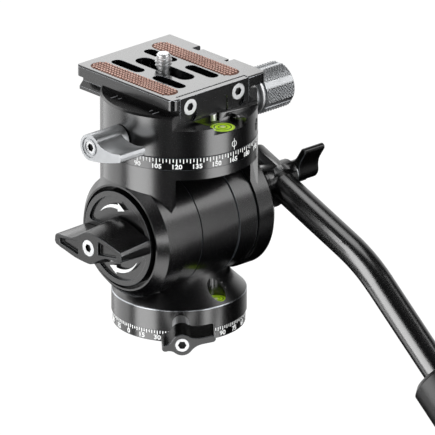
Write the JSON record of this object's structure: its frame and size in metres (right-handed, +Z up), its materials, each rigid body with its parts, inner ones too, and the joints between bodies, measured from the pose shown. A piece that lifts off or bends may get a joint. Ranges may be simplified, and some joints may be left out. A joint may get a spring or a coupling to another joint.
{
  "type": "fluid video head",
  "caption": "Two-axis fluid video head: panning base, damped tilt in a yoke, top panning clamp with dovetail camera plate, locking levers and an angled pan handle.",
  "frame": {"origin": "centre of the base's bottom face, on the pan axis, at the mouth of the mounting thread", "axes": "+Z up along the pan axis; +X along the tilt axis towards the handle; -Y towards the operator, so the lens side is +Y"},
  "size_m": [0.1014, 0.2268, 0.184],
  "materials": {
    "black_anodised": "satin black anodised",
    "black_cast": "satin black",
    "silver_satin": "bead blasted",
    "stainless": "turned",
    "dark_steel": "ground",
    "bronze": "sintered",
    "pad_rubber": "matte, fine bumps",
    "friction_lining": "matte",
    "vial_liquid": "clear gloss",
    "black_plastic": "matte",
    "damper_plastic": "moulded",
    "grip_foam": "matte foam",
    "tube_gloss": "gloss black"
  },
  "bodies": {
    "base": {"base_ring": "black_anodised", "base_spindle": "dark_steel", "thread_bush": "bronze", "pan_retainer": "dark_steel", "pan_bolt": "dark_steel"},
    "pan_base": {"pan_housing": "black_anodised", "left_cover": "black_anodised", "right_cover": "black_anodised", "left_bush": "bronze", "right_bush": "bronze", "base_vial": "vial_liquid", "pan_shoe": "bronze"},
    "pan_lock": {"pan_collar": "silver_satin", "pan_lever": "black_cast", "pan_stud": "stainless"},
    "tilt_head": {"yoke": "black_anodised", "tilt_pad": "friction_lining", "tilt_axle": "dark_steel", "tilt_rotor": "damper_plastic", "tilt_dial": "black_anodised", "rosette_base": "black_anodised", "handle_bolt": "dark_steel", "pan_scale": "black_anodised", "top_axle": "dark_steel", "top_cap": "dark_steel", "top_bolt": "dark_steel"},
    "tilt_lock": {"tilt_lever": "black_cast", "tilt_lever_screw": "stainless"},
    "top_pan": {"pan_drum": "black_anodised", "top_vial": "vial_liquid", "vial_ring": "black_plastic", "top_shoe": "bronze", "set_screw": "stainless"},
    "top_lock": {"top_lever": "silver_satin", "top_stud": "stainless"},
    "clamp_jaw": {"jaw": "black_anodised", "jaw_pin_front": "stainless", "jaw_pin_back": "stainless"},
    "clamp_knob": {"knob": "black_anodised", "knob_ring": "silver_satin", "clamp_screw": "dark_steel", "clamp_clip": "stainless"},
    "plate": {"quick_plate": "black_anodised", "pad_left": "pad_rubber", "pad_right": "pad_rubber", "stop_bar": "black_anodised", "bar_screw_left": "stainless", "bar_screw_right": "stainless", "stop_pin": "stainless"},
    "screw_slide": {"screw_washer": "black_plastic"},
    "camera_screw": {"camera_screw": "stainless"},
    "handle": {"holder": "black_anodised", "handle_tube": "tube_gloss", "grip": "grip_foam", "end_cap": "black_plastic"},
    "handle_lock": {"handle_collar": "silver_satin", "handle_lever": "black_cast", "handle_screw": "stainless"}
  },
  "joints": [
    {"name": "base_pan", "type": "hinge", "parent": "base", "child": "pan_base", "pos_m": [0, 0, 0.008], "axis": [0, 0, 1], "continuous": true},
    {"name": "pan_lock_turn", "type": "hinge", "parent": "pan_base", "child": "pan_lock", "pos_m": [-0.02362, -0.02717, 0.008], "axis": [-0.6561, -0.7547, 0], "range_deg": [-30, 45]},
    {"name": "tilt", "type": "hinge", "parent": "pan_base", "child": "tilt_head", "pos_m": [0, 0, 0.03945], "axis": [1, 0, 0], "range_deg": [-85, 60]},
    {"name": "tilt_lock_turn", "type": "hinge", "parent": "tilt_head", "child": "tilt_lock", "pos_m": [-0.036, 0, 0.03945], "axis": [1, 0, 0], "range_deg": [-45, 45]},
    {"name": "top_pan_turn", "type": "hinge", "parent": "tilt_head", "child": "top_pan", "pos_m": [0, 0, 0.08], "axis": [0, 0, 1], "continuous": true},
    {"name": "top_lock_turn", "type": "hinge", "parent": "top_pan", "child": "top_lock", "pos_m": [-0.036, 0, 0.0787], "axis": [1, 0, 0], "range_deg": [-60, 10]},
    {"name": "jaw_slide", "type": "slide", "parent": "top_pan", "child": "clamp_jaw", "axis": [1, 0, 0], "range_m": [0, 0.00499]},
    {"name": "knob_turn", "type": "hinge", "parent": "clamp_jaw", "child": "clamp_knob", "pos_m": [0.038, -0.005, 0.0823], "axis": [1, 0, 0], "range_deg": [0, 1799]},
    {"name": "plate_slide", "type": "slide", "parent": "top_pan", "child": "plate", "axis": [0, 1, 0], "range_m": [-0.0015, 0.0015]},
    {"name": "screw_along_slot", "type": "slide", "parent": "plate", "child": "screw_slide", "axis": [0, 1, 0], "range_m": [-0.01, 0.01]},
    {"name": "camera_screw_turn", "type": "hinge", "parent": "screw_slide", "child": "camera_screw", "pos_m": [0, 0.0084, 0.095], "axis": [0, 0, 1], "continuous": true},
    {"name": "handle_pivot", "type": "hinge", "parent": "tilt_head", "child": "handle", "pos_m": [0.0375, -0.011, 0.04875], "axis": [1, 0, 0], "range_deg": [-50, 60]},
    {"name": "handle_lock_turn", "type": "hinge", "parent": "tilt_head", "child": "handle_lock", "pos_m": [0.05, -0.011, 0.04875], "axis": [1, 0, 0], "range_deg": [-90, 90]}
  ],
  "couplings": [
    {"joint": "knob_turn", "follows": "jaw_slide", "rad_per_m": 6283.2}
  ]
}
